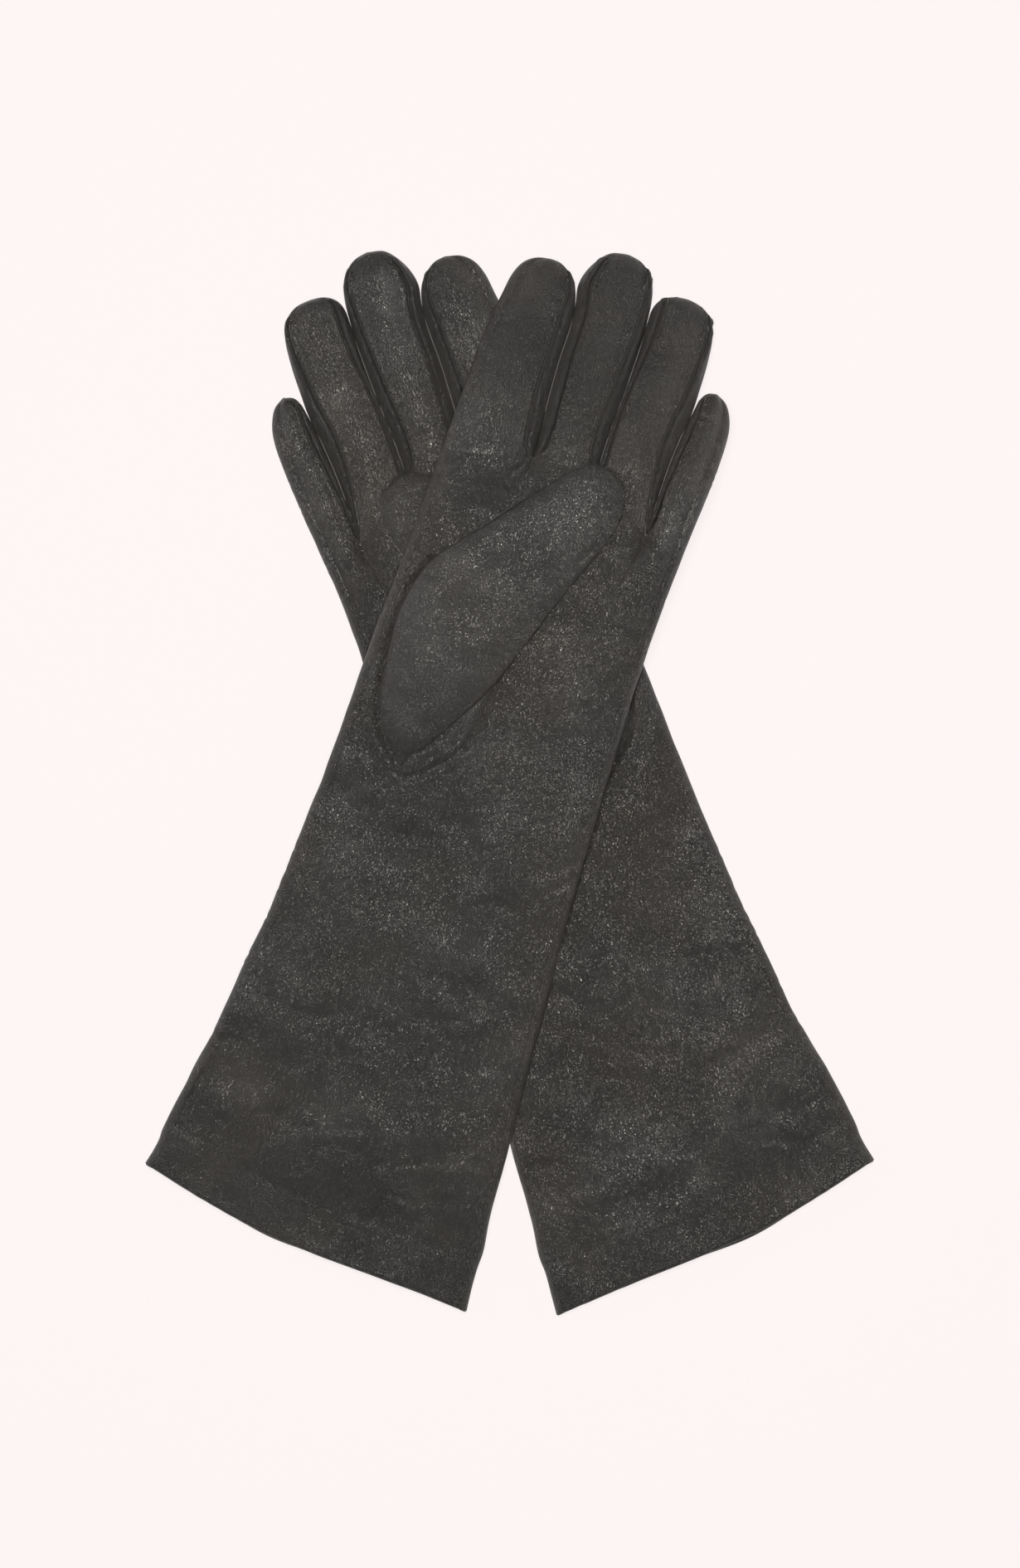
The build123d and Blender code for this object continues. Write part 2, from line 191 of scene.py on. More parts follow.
def creases(x, y, strokes):
    """The leather's height change from creases: each (x, y, angle, length, width, depth, bow)."""
    total = np.zeros(np.shape(x))
    for cx, cy, angle, length, width, depth, bow in strokes:
        c, s = math.cos(math.radians(angle)), math.sin(math.radians(angle))
        near = (np.abs(x - cx) < length) & (np.abs(y - cy) < length)
        dx, dy = x[near] - cx, y[near] - cy
        u = (dx * c + dy * s) / length * 2
        d = np.abs(dy * c - dx * s - bow * (1 - u * u))
        fade = smooth((1 - np.abs(u)) / 0.5)
        total[near] -= depth * fade * (
            np.exp(-((d / width) ** 2)) - 0.55 * np.exp(-(((d - 2 * width) / (1.2 * width)) ** 2))
        )
    return total


def zone(rng, count, x, y, angle, length, width, depth):
    """Creases strewn over a patch: every argument is a (lowest, highest) pair."""
    made = []
    for _ in range(count):
        run = rng.uniform(*length)
        made.append((rng.uniform(*x), rng.uniform(*y), rng.uniform(*angle), run, rng.uniform(*width),
                     rng.uniform(*depth), rng.uniform(-0.12, 0.12) * run))
    return made


def palm_creases(seed):
    """The short creases of the cuff, forearm, palm and fingers, and those that run into the crotches."""
    rng = np.random.default_rng(seed)
    made = []
    made += zone(rng, 13, (-56, -38), (30, 150), (-28, 22), (9, 22), (0.7, 1.2), (0.14, 0.34))
    made += zone(rng, 7, (38, 54), (20, 160), (60, 120), (14, 40), (0.8, 1.5), (0.12, 0.26))
    made += zone(rng, 30, (-54, 54), (-4, 20), (68, 118), (7, 17), (0.8, 1.6), (0.12, 0.32))
    made += zone(rng, 16, (-48, 50), (16, 60), (-12, 40), (10, 26), (0.9, 1.8), (0.12, 0.26))
    made += zone(rng, 22, (-42, 48), (60, 160), (8, 62), (14, 40), (1.0, 2.2), (0.10, 0.24))
    made += zone(rng, 12, (-35, 48), (160, 240), (15, 70), (14, 34), (0.9, 2.0), (0.10, 0.22))
    made += zone(rng, 34, (-33, 50), (238, 276), (-28, 28), (6, 17), (0.55, 1.0), (0.10, 0.28))
    made += zone(rng, 10, (30, 50), (190, 262), (30, 80), (8, 20), (0.6, 1.2), (0.12, 0.24))
    made += zone(rng, 8, (-45, 45), (20, 200), (-40, 80), (40, 75), (3.2, 5.0), (0.25, 0.5))
    for cx, cy in CROTCHES:
        for _ in range(9):
            turn = rng.uniform(205, 335)
            run = rng.uniform(5, 10)
            x = cx + 0.75 * run * math.cos(math.radians(turn))
            y = cy + 0.75 * run * math.sin(math.radians(turn))
            made.append((x, y, turn, run, rng.uniform(0.4, 0.7), rng.uniform(0.16, 0.34), 0))
    for cx, low, high in ((-20, 285, 330), (5.5, 285, 338), (28, 285, 330), (47, 270, 304)):
        made += zone(rng, 22, (cx - 8, cx + 8), (low, high), (-22, 22), (4, 12), (0.4, 0.8), (0.05, 0.16))
        made += zone(rng, 5, (cx - 6, cx + 6), (low, low + 18), (50, 120), (6, 14), (0.5, 0.9), (0.06, 0.14))
    return made


def beside(points, x, y):
    """How far each point is from a smooth line through the given points."""
    line = through(points, np.linspace(0, 1, 160))
    best = np.full(np.shape(x), 1e9)
    for a, b in zip(line, line[1:]):
        run = b - a
        t = np.clip(((x - a[0]) * run[0] + (y - a[1]) * run[1]) / (run @ run), 0, 1)
        best = np.minimum(best, np.hypot(x - a[0] - t * run[0], y - a[1] - t * run[1]))
    return best


# ---- one glove's skin ----

ACROSS = 22  # columns over one finger's palm side
HAND_ACROSS = 4 * ACROSS
HAND_ROWS = 216
FINGER_ROWS = 74
QUARTER = [1, 0.96, 0.91, 0.85, 0.77, 0.66, 0.52, 0.35, 0.18]
ROUND = np.array([*QUARTER, 0, *[-q for q in QUARTER[::-1]]])  # the columns down a side
SIDE_IN = 3.2  # how far in the hand's flat sides start


class Skin:
    """Points shared by all of a glove's pieces, and its faces, each with its piece's name."""

    def __init__(self):
        self.points = []
        self.facts = []  # for each point: plan x, plan y, which side (1 palm, -1 back, 0 between), seam, calm
        self.count = 0
        self.faces = {}

    def add(self, points, side, seam=FAR, calm=0.0):
        """points is (..., 3); the rest is a number or an array over the points. Returns their indices."""
        shape = points.shape[:-1]
        flat = points.reshape(-1, 3)
        facts = [np.broadcast_to(v, shape).reshape(-1) for v in (side, seam, calm)]
        self.points.append(flat)
        self.facts.append(np.column_stack([flat[:, :2], *facts]))
        index = np.arange(self.count, self.count + len(flat)).reshape(shape)
        self.count += len(flat)
        return index

    def grid(self, name, index, u, v):
        """Faces over a grid of indices, with the hide's own u, v at each of its points."""
        q = np.stack([index[:-1, :-1], index[:-1, 1:], index[1:, 1:], index[1:, :-1]], -1).reshape(-1, 4)
        uv = np.stack([u, v], -1)
        w = np.stack([uv[:-1, :-1], uv[:-1, 1:], uv[1:, 1:], uv[1:, :-1]], 2).reshape(-1, 4, 2)
        self.faces.setdefault(name, []).append((q, w))

    def cap(self, name, ring, tip, u, v):
        """Three-sided faces from a ring's run of points to one tip point."""
        q = np.stack([ring[:-1], ring[1:], np.full(len(ring) - 1, tip), np.full(len(ring) - 1, -1)], -1)
        uv = np.stack([u, v], -1)
        mid = np.broadcast_to(uv.mean(0), uv[1:].shape)
        w = np.stack([uv[:-1], uv[1:], mid, mid], 1)
        self.faces.setdefault(name, []).append((q, w))


def spread(n):
    """Shares across a panel, closer together at its two seams."""
    k = np.linspace(0, 1, n + 1)
    return 0.45 * k + 0.55 * (0.5 - 0.5 * np.cos(math.pi * k))


def dip(x, y, depth):
    """How far the leather drops into the pits where the fingers part."""
    total = np.zeros(np.shape(x))
    for cx, cy in CROTCHES:
        below = np.where(y < cy, 5.5, 2.6)
        total += np.exp(-(((x - cx) / 2.3) ** 2) - ((y - cy) / below) ** 2)
    return depth * total


def side_run(edge, out, top, middle, bottom):
    """Points down a rounded side, from a panel's edge to the outline and back under."""
    phi = ROUND[1:-1] * math.pi / 2
    reach = np.cos(phi)[None, :, None]
    plan = edge[:, None] * (1 - reach) + out[:, None] * reach
    rise = np.sin(phi)[None, :]
    over, under = (top - middle)[:, None], (middle - bottom)[:, None]
    z = middle[:, None] + np.where(rise > 0, over * rise, under * rise)
    return np.concatenate([plan, z[..., None]], -1)


def side_length(edge, out, top, bottom):
    """The running length at each of a side's points, for its grain."""
    quarter = 0.5 * math.pi * np.sqrt((np.hypot(*(edge - out).T) ** 2 + ((top - bottom) / 2) ** 2) / 2)
    return (1 - ROUND)[None, :] * quarter[:, None]


def hand_skin(skin):
    """The palm, back and forearm, from the cuff's edge to the row where the fingers start."""
    t = np.linspace(0, 1, HAND_ROWS + 1)
    t = 0.85 * t + 0.15 * smooth(t)
    left, right = through(INDEX_EDGE, t), through(LITTLE_EDGE, t)
    along = (right - left) / np.hypot(*(right - left).T)[:, None]
    a, b = left + along * SIDE_IN, right - along * SIDE_IN
    fraction = np.linspace(0, 1, HAND_ACROSS + 1)
    stops = np.array([a[-1], *CROTCHES, b[-1]])
    top_row = []
    for i in range(4):
        s = spread(ACROSS)[: ACROSS + (i == 3)][:, None]
        top_row.append(stops[i] * (1 - s) + stops[i + 1] * s)
    top_row = np.vstack(top_row)
    chord = a[:, None] * (1 - fraction)[None, :, None] + b[:, None] * fraction[None, :, None]
    near_top = smooth((t - 0.78) / 0.22)[:, None, None]
    plan = chord + near_top * (top_row - chord[-1])[None]
    sag = level(HEM_SAG, fraction)[None, :] * (1 - smooth(t / 0.3))[:, None]
    plan[..., 1] += sag
    x, y = plan[..., 0], plan[..., 1]

    own = (np.arange(HAND_ACROSS + 1) % ACROSS) / ACROSS
    finger_dome = 1 - np.abs(2 * own - 1) ** 2.0
    hand_dome = 1 - np.abs(2 * fraction - 1) ** 2.2
    w = smooth((t - 0.87) / 0.13)[:, None]
    middle = 3.3 + 0.6 * w
    dome = (1 - w) * hand_dome[None] * 1.3 + w * finger_dome[None] * 2.0
    top = middle + 2.3 + 0.3 * w + dome - dip(x, y, 1.6)
    bottom = middle - (3.0 + 0.4 * w) - 0.04 * dome + dip(x, y, 1.5)
    peek = 1.5 * np.exp(-(((fraction - 0.42) / 0.2) ** 2)) + 0.9 * np.exp(-(((fraction - 0.85) / 0.1) ** 2))
    back_y = y - (peek - 0.5)[None, :] * (1 - smooth(t / 0.06))[:, None]

    front_i = skin.add(np.stack([x, y, top], -1), 1)
    back_i = skin.add(np.stack([x, back_y, bottom], -1)[:, ::-1], -1)
    mid = middle[:, 0]
    right_out, left_out = (edge + np.stack([0 * t, sag[:, k]], -1) for edge, k in ((right, -1), (left, 0)))
    right_pts = side_run(plan[:, -1], right_out, top[:, -1], mid, bottom[:, -1])
    left_pts = side_run(plan[:, 0], left_out, top[:, 0], mid, bottom[:, 0])
    right_i = skin.add(right_pts, 0, calm=0.3)
    left_i = skin.add(left_pts, 0, calm=0.3)[:, ::-1]
    skin.grid("trank", front_i, x, y)
    skin.grid("trank", back_i, BACK_HIDE + x[:, ::-1], y[:, ::-1])
    rs = side_length(plan[:, -1], right, top[:, -1], bottom[:, -1])
    ls = side_length(plan[:, 0], left, top[:, 0], bottom[:, 0])
    yy = np.broadcast_to(y[:, -1:], rs.shape)
    skin.grid("trank", np.hstack([front_i[:, -1:], right_i, back_i[:, :1]]), x[:, -1:] + rs, yy)
    yy = np.broadcast_to(y[:, :1], ls.shape)
    skin.grid("trank", np.hstack([back_i[:, -1:], left_i, front_i[:, :1]]), (x[:, :1] - ls)[:, ::-1], yy)
    return dict(front=front_i, back=back_i, right=right_i, left=left_i, rows=t)


def web_line(skin, hand, i):
    """The points down between two fingers, from the palm to the back, shared by both."""
    col = (i + 1) * ACROSS
    all_points = np.vstack(skin.points)
    p = all_points[hand["front"][-1, col]]
    q = all_points[hand["back"][-1, HAND_ACROSS - col]]
    z = (p[2] + q[2]) / 2 + (p[2] - q[2]) / 2 * np.sin(ROUND[1:-1] * math.pi / 2)
    return skin.add(np.column_stack([np.full(len(z), p[0]), np.full(len(z), p[1]), z]), 0, calm=1.0)


def finger_skin(skin, hand, webs, name):
    """One finger: its front and back on from the hand's last row, its strips, and its closed tip."""
    order = list(FINGERS)
    i = order.index(name)
    f = FINGERS[name]
    t = np.linspace(0, 0.985, FINGER_ROWS + 1)
    t = t + 0.012 * np.sin(2 * math.pi * t)
    t[0] = 0
    out_l, out_r = through(f["left"], t), through(f["right"], t)
    width = np.hypot(*(out_r - out_l).T)
    along = (out_r - out_l) / width[:, None]
    gap = 0.02 * smooth(t / 0.08)[:, None]
    if i > 0:
        out_l = out_l + along * gap
    if i < 3:
        out_r = out_r - along * gap
    in_l, in_r = level(f["in_left"], t), level(f["in_right"], t)
    room = width * 0.42
    in_l, in_r = np.minimum(in_l, room), np.minimum(in_r, room)
    a, b = out_l + along * in_l[:, None], out_r - along * in_r[:, None]
    s = spread(ACROSS)
    plan = a[:, None] * (1 - s)[None, :, None] + b[:, None] * s[None, :, None]
    x, y = plan[..., 0], plan[..., 1]
    widest = width[len(t) // 4: len(t) * 3 // 4].max()
    tip = np.clip(width / (0.84 * widest), 0, 1) ** 0.75
    tip = np.where(t > 0.5, tip, 1.0)[:, None]
    tip = np.minimum(tip, 1.0)
    dome = (1 - np.abs(2 * s - 1) ** 2.0)[None]
    middle = 3.9 - 0.3 * smooth((t - 0.8) / 0.2)[:, None]
    grow = smooth(t / 0.12)[:, None]
    top = middle + tip * (2.6 + (2.0 + 0.1 * grow) * dome) - dip(x, y, 1.6)
    bottom = middle - tip * (3.4 + 0.04 * dome) + dip(x, y, 1.5)
    across = s[None, :] * np.hypot(*(b - a).T)[:, None]
    along_seam = smooth(t / 0.04) * (1 - smooth((t - 0.87) / 0.08))
    seam_l = across + 9 * (1 - along_seam)[:, None]
    seam_r = across[:, -1:] - across + 9 * (1 - along_seam)[:, None]
    outer_l, outer_r = i == 0, i == 3
    seam = np.minimum(FAR if outer_l else seam_l, FAR if outer_r else seam_r)

    front_i = skin.add(np.stack([x, y, top], -1)[1:], 1, seam[1:] + 0 * x[1:])
    back_i = skin.add(np.stack([x, y, bottom], -1)[1:, ::-1], -1, (seam[1:] + 0 * x[1:])[:, ::-1])
    mid = middle[:, 0]
    right_pts = side_run(b, out_r, top[:, -1], mid, bottom[:, -1])
    left_pts = side_run(a, out_l, top[:, 0], mid, bottom[:, 0])
    rs = side_length(b, out_r, top[:, -1], bottom[:, -1])
    ls = side_length(a, out_l, top[:, 0], bottom[:, 0])

    def edge_distance(run, outer):
        d = np.minimum(run, run[:, -1:] - run)[:, 1:-1] + 9 * (1 - along_seam)[:, None]
        return np.where(outer, FAR, d)

    right_i = skin.add(right_pts[1:], 0, edge_distance(rs, outer_r)[1:], 0.0 if outer_r else 1.0)
    left_i = skin.add(left_pts[1:], 0, edge_distance(ls, outer_l)[1:], 0.0 if outer_l else 1.0)[:, ::-1]
    first, last = i * ACROSS, (i + 1) * ACROSS
    base_front = hand["front"][-1:, first: last + 1]
    base_back = hand["back"][-1:, HAND_ACROSS - last: HAND_ACROSS - first + 1]
    base_right = hand["right"][-1:] if outer_r else webs[i][None]
    base_left = hand["left"][-1:] if outer_l else webs[i - 1][::-1][None]
    front_i = np.vstack([base_front, front_i])
    back_i = np.vstack([base_back, back_i])
    right_i = np.vstack([base_right, right_i])
    left_i = np.vstack([base_left, left_i])
    leather = f"{name}_finger"
    if name in ("index", "little"):
        side_r = leather if outer_r else f"{name}_fourchette"
        side_l = leather if outer_l else f"{name}_fourchette"
    else:
        side_l, side_r = f"{name}_inner_fourchette", f"{name}_outer_fourchette"
    right_all = np.hstack([front_i[:, -1:], right_i, back_i[:, :1]])
    left_all = np.hstack([back_i[:, -1:], left_i, front_i[:, :1]])
    yr, yl = np.broadcast_to(y[:, -1:], rs.shape), np.broadcast_to(y[:, :1], ls.shape)
    ur, ul = x[:, -1:] + rs, (x[:, :1] - ls)[:, ::-1]
    skin.grid(leather, front_i, x, y)
    skin.grid(leather, back_i, BACK_HIDE + x[:, ::-1], y[:, ::-1])
    skin.grid(side_r, right_all, ur, yr)
    skin.grid(side_l, left_all, ul, yl)
    end = through(f["left"], [1.0])[0]
    tip_i = skin.add(np.array([[end[0], end[1], mid[-1]]]), 0)[0]
    skin.cap(leather, front_i[-1], tip_i, x[-1], y[-1])
    skin.cap(leather, back_i[-1], tip_i, BACK_HIDE + x[-1, ::-1], y[-1, ::-1])
    skin.cap(side_r, right_all[-1], tip_i, ur[-1], yr[-1])
    skin.cap(side_l, left_all[-1], tip_i, ul[-1], yl[-1])
    return dict(front=front_i, back=back_i, right=right_i, left=left_i, tip=tip_i)


THUMB_ACROSS = 30
THUMB_ROWS = 92


def thumb_skin(skin):
    """The thumb lying over the palm: sewn in up to its fold, and free beyond it."""
    t = np.linspace(0.006, 0.99, THUMB_ROWS + 1)
    left, right = through(THUMB_LEFT, t), through(THUMB_RIGHT, t)
    s = 0.5 - 0.5 * np.cos(math.pi * np.linspace(0, 1, THUMB_ACROSS + 1))
    s = 0.8 * s + 0.2 * np.linspace(0, 1, THUMB_ACROSS + 1)
    plan = left[:, None] * (1 - s)[None, :, None] + right[:, None] * s[None, :, None]
    width = np.hypot(*(right - left).T)
    x, y = plan[..., 0], plan[..., 1]
    base = 1 - smooth((t - 0.28) / 0.2)[:, None]  # 1 where the thumb is sewn into the palm
    tip = np.where(t > 0.6, np.clip(width / (0.86 * width[60:].max()), 0, 1) ** 0.8, 1)[:, None]
    c = 2 * s[None] - 1
    free = (1 - np.abs(c) ** 2.1) ** 0.72
    crease = (1 - np.abs(c) ** 14) ** 0.5 * (1 - 0.62 * np.abs(c) ** 1.6)
    crease = crease + 0.1 * np.exp(-(((1 - c) / 0.07) ** 2))
    sewn = np.where(c < 0, (1 - np.abs(c) ** 2.2) ** 0.55, crease)
    profile = base * sewn + (1 - base) * free
    rise = level([(0, 0.5), (0.08, 1.9), (0.2, 3.6), (0.36, 4.6), (0.7, 4.7), (1, 4.3)], t)[:, None]
    under = level([(0, 6.6), (0.1, 6.9), (0.3, 7.3), (0.75, 7.7), (1, 8.8)], t)[:, None]
    lift = (0.9 * smooth(t / 0.12) * (1 - smooth((t - 0.3) / 0.2)))[:, None] * smooth(s * 1.6 - 0.3)[None]
    middle = under + 0.42 * rise * tip * (1 - base) + lift
    top = middle + (0.58 + 0.42 * base) * rise * tip * profile
    bottom = middle - (1 - base) * 0.42 * rise * tip * free - base * 0.5 * (1 - np.abs(c) ** 6)
    front_i = skin.add(np.stack([x, y, top], -1), 1, calm=0.6)
    back_i = skin.add(np.stack([x, y, bottom], -1)[:, 1:-1][:, ::-1], -1, calm=0.9)
    back_all = np.hstack([front_i[:, -1:], back_i, front_i[:, :1]])
    away = np.array([math.sin(THUMB_LEAN), math.cos(THUMB_LEAN)])
    beyond = (plan[:, THUMB_ACROSS // 2] - THUMB_FOLD) @ away
    cut = int(np.searchsorted(beyond, THUMB_CUT))
    for name, rows in (("thumb_base", slice(0, cut + 1)), ("thumb", slice(cut, None))):
        skin.grid(name, front_i[rows], THUMB_HIDE + x[rows], y[rows])
        skin.grid(name, back_all[rows], THUMB_BACK_HIDE + x[rows, ::-1], y[rows, ::-1])
    for row, at, name in ((0, THUMB_LEFT[0], "thumb_base"), (-1, THUMB_LEFT[-1], "thumb")):
        z = float((top[row].mean() + bottom[row].mean()) / 2)
        pole = skin.add(np.array([[at[0], at[1], z]]), 0)[0]
        f, b = front_i[row], back_all[row]
        if row == 0:
            f, b = f[::-1], b[::-1]
        skin.cap(name, f, pole, THUMB_HIDE + x[row], y[row])
        skin.cap(name, b, pole, THUMB_BACK_HIDE + x[row], y[row])
    return dict(front=front_i, back=back_all, cut=cut)


def gusset_skin(skin):
    """The sliver of leather let in between the thumb and the palm."""
    t = np.linspace(0.0, 1, 57)
    outer = through(GUSSET_SEAM, t)
    inner = through([(x - 2.6, y + 0.8) for x, y in THUMB_RIGHT[:6]], t)
    inner[:, 0] -= 1.4 * smooth(t / 0.3)
    s = np.linspace(0, 1, 15)
    plan = outer[:, None] * (1 - s)[None, :, None] + inner[:, None] * s[None, :, None]
    ends = (smooth(t / 0.12) * (1 - smooth((t - 0.85) / 0.15)))[:, None]
    z = 6.5 + ends * (1.35 * np.sin(math.pi * np.clip(s * 0.86, 0, 1))[None] ** 0.7 + 0.3 * s[None])
    index = skin.add(np.concatenate([plan, z[..., None]], -1), 1, seam=(s * 9)[None, :] + 0 * z, calm=0.5)
    skin.grid("thumb_gusset", index[:, ::-1], GUSSET_HIDE + plan[:, ::-1, 0], plan[:, ::-1, 1])
    return index


def vertex_normals(points, quads):
    """Each point's normal, weighted by area. A three-sided face has -1 for its fourth corner."""
    total = np.zeros_like(points)
    tri = quads.copy()
    tri[:, 3] = np.where(tri[:, 3] < 0, tri[:, 2], tri[:, 3])
    a, b, c, d = (points[tri[:, k]] for k in range(4))
    normal = np.cross(c - a, d - b)
    flat = np.cross(b - a, c - a)
    normal = np.where((quads[:, 3] < 0)[:, None], flat, normal)
    for k in range(4):
        np.add.at(total, tri[:, k], normal * (1 if k < 3 else (quads[:, 3] >= 0)[:, None]))
    return total / np.maximum(np.linalg.norm(total, axis=1), 1e-9)[:, None]


def relief(facts, seed):
    """How far the leather stands out of its smooth shape at each point."""
    x, y, side, seam, calm = facts.T
    full = np.where(side > 0, 1.0, np.where(side < 0, 0.35, 0.5))
    soft = 0.62 * ripple(x, y * 0.8, 44, seed) + 0.2 * ripple(x, y, 17, seed + 1)
    soft = soft + 0.05 * ripple(x, y, 7, seed + 2)
    in_hand = 1 - 0.65 * smooth((y - 262) / 20)
    out = full * in_hand * (1 - 0.6 * calm) * soft
    out[calm == 1.0] = 0
    loose = (side >= 0) & (calm < 0.35)
    out[loose] += np.where(side[loose] > 0, 1.0, 0.6) * creases(x[loose], y[loose], palm_creases(seed + 3))
    strip = calm == 1.0
    ribs = 0.22 * ripple(x[strip] * 1.5, y[strip], 5.0, seed + 4)
    ribs = ribs + 0.08 * ripple(x[strip] * 3, y[strip], 2.6, seed + 5)
    out[strip] += ribs * np.exp(-(((seam[strip] - 1.8) / 0.9) ** 2))
    out[strip] += 0.5 * np.exp(-(((seam[strip] - 1.7) / 0.8) ** 2))
    out += 0.34 * np.exp(-(((seam - 0.8) / 0.38) ** 2)) * (side != 0) - 0.85 * np.exp(-((seam / 0.42) ** 2))
    palm = (side > 0) & (calm == 0) & (y > 150) & (y < 240)
    near = beside(THUMB_LEFT[:7], x[palm], y[palm])
    out[palm] += 0.6 * np.exp(-(((near - 2.7) / 1.5) ** 2)) - 1.5 * np.exp(-((near / 1.2) ** 2))
    near = beside(GUSSET_SEAM, x[palm], y[palm])
    out[palm] += 0.35 * np.exp(-(((near - 1.9) / 1.0) ** 2)) - 0.9 * np.exp(-((near / 0.8) ** 2))
    hem = (side != 0) & (y < 40)
    over = y[hem] - np.interp(x[hem], [-59, -17, 5, 39, 58], [8.1, -1.7, -3.6, -5.8, -7.3])
    groove = 0.1 * np.exp(-(((over - HEM_DEPTH - 0.8) / 0.9) ** 2))
    out[hem] += 0.16 * (1 - smooth((over - HEM_DEPTH + 1) / 1.6)) - groove
    return out


def thumb_relief(facts, labels, seed):
    """The thumb's own soft swells and short creases, in place of the palm's."""
    x, y = facts[:, 0], facts[:, 1]
    rng = np.random.default_rng(seed)
    strokes = zone(rng, 26, (8, 30), (245, 277), (-30, 60), (5, 13), (0.5, 0.9), (0.08, 0.22))
    strokes += zone(rng, 16, (-30, 22), (175, 262), (40, 80), (14, 34), (1.0, 2.2), (0.08, 0.2))
    strokes += zone(rng, 12, (4, 26), (205, 262), (-20, 20), (5, 9), (0.5, 0.9), (0.1, 0.22))
    strokes += zone(rng, 8, (-28, -8), (215, 262), (100, 150), (5, 9), (0.5, 0.9), (0.08, 0.18))
    strokes.append((-8, 236, 50, 62, 3.4, 0.5, 2.0))
    out = 0.2 * ripple(x, y, 24, seed + 1) + 0.07 * ripple(x, y, 9, seed + 2) + creases(x, y, strokes)
    return out * labels


def droop(points, angle):
    """Bends the fingers down about their fold, over a short length on each side of it."""
    if not angle:
        return points
    across = np.array([math.cos(math.atan(FOLD_SLANT)), -math.sin(math.atan(FOLD_SLANT))])
    away = np.array([-across[1], across[0]])
    v = (points[:, :2] - FOLD_AT) @ away
    h = points[:, 2] - PALM_TOP
    grid = np.linspace(-10, 90, 801)
    turn = math.radians(angle) * smooth((grid + 9) / 18)
    step = grid[1] - grid[0]
    run = -10 + np.r_[0, np.cumsum(np.cos(turn[:-1]) * step)]
    fall = -np.r_[0, np.cumsum(np.sin(turn[:-1]) * step)]
    past = v > -10
    a = np.interp(v[past], grid, turn)
    out = points.copy()
    moved = np.interp(v[past], grid, run) + h[past] * np.sin(a) - v[past]
    out[past, :2] += moved[:, None] * away
    out[past, 2] = PALM_TOP + np.interp(v[past], grid, fall) + h[past] * np.cos(a)
    return out


def lengthen(points):
    """Draws the fingers out beyond their fold, to the length they have before they droop."""
    away = np.array([math.sin(math.atan(FOLD_SLANT)), math.cos(math.atan(FOLD_SLANT))])
    past = np.maximum((points[:, :2] - FOLD_AT) @ away, 0)
    out = points.copy()
    out[:, :2] += FINGER_DRAW * past[:, None] * away
    return out


def set_down(points, g):
    """From the glove's own frame in mm to the shared frame in metres."""
    p = droop(lengthen(points), DROOP[g])
    if g == "left":
        p = p.copy()
        p[:, 2] -= 3.9 * (1 - smooth(p[:, 1] / 46)) * smooth((p[:, 1] + 12) / 4 + 1)
    pitch, tilt = PITCH[g], math.radians(TILT[g])
    c, s = math.cos(tilt), math.sin(tilt)
    turn = np.array([[c, -s, 0], [s, c, 0], [0, 0, 1]])
    c, s = math.cos(pitch), math.sin(pitch)
    rise = np.array([[1, 0, 0], [0, c, -s], [0, s, c]])
    flip = np.diag([1 if g == "left" else -1, 1, 1])
    m = turn @ rise @ flip
    anchor = np.array(JOINTS[f"{g}_middle_fold"]["pos_m"])
    return anchor + (p - [*FOLD_AT, PALM_TOP]) @ m.T / 1000


def spin(vectors, g):
    """A direction in the glove's own frame, in the shared frame, without its droop."""
    return set_down(np.asarray(vectors, float) + [0, 120, 0], g) - set_down(np.array([[0, 120.0, 0]]), g)


# ---- materials ----


def node(tree, kind, **values):
    """A new shader node, with the given properties set on it."""
    made = tree.nodes.new(kind)
    for key, value in values.items():
        if key in made.inputs:
            made.inputs[key].default_value = value
        else:
            setattr(made, key, value)
    return made


def ramp(tree, value, low, high, dark=0.0, light=1.0):
    """A smooth step of value from low to high, put out as dark to light."""
    made = node(tree, "ShaderNodeMapRange", interpolation_type="SMOOTHSTEP")
    for key, number in (("From Min", low), ("From Max", high), ("To Min", dark), ("To Max", light)):
        made.inputs[key].default_value = number
    tree.links.new(value, made.inputs["Value"])
    return made.outputs["Result"]


def maths(tree, how, a, b):
    """One sum on two sockets or numbers."""
    made = node(tree, "ShaderNodeMath", operation=how)
    for socket, value in zip(made.inputs, (a, b)):
        if isinstance(value, (int, float)):
            socket.default_value = value
        else:
            tree.links.new(value, socket)
    return made.outputs[0]


def mixed(tree, dark, light, by):
    """A colour that goes from dark to light."""
    mix = node(tree, "ShaderNodeMix", data_type="RGBA")
    mix.inputs["A"].default_value = (*dark, 1)
    mix.inputs["B"].default_value = (*light, 1)
    tree.links.new(by, mix.inputs["Factor"])
    return mix.outputs["Result"]


def new_material(name):
    """A material with nothing but its one shader, and its node tree."""
    m = bpy.data.materials.new(name)
    m.use_nodes = True
    tree = m.node_tree
    tree.nodes.clear()
    out = node(tree, "ShaderNodeOutputMaterial")
    shader = node(tree, "ShaderNodeBsdfPrincipled")
    tree.links.new(shader.outputs[0], out.inputs[0])
    return m, tree, shader


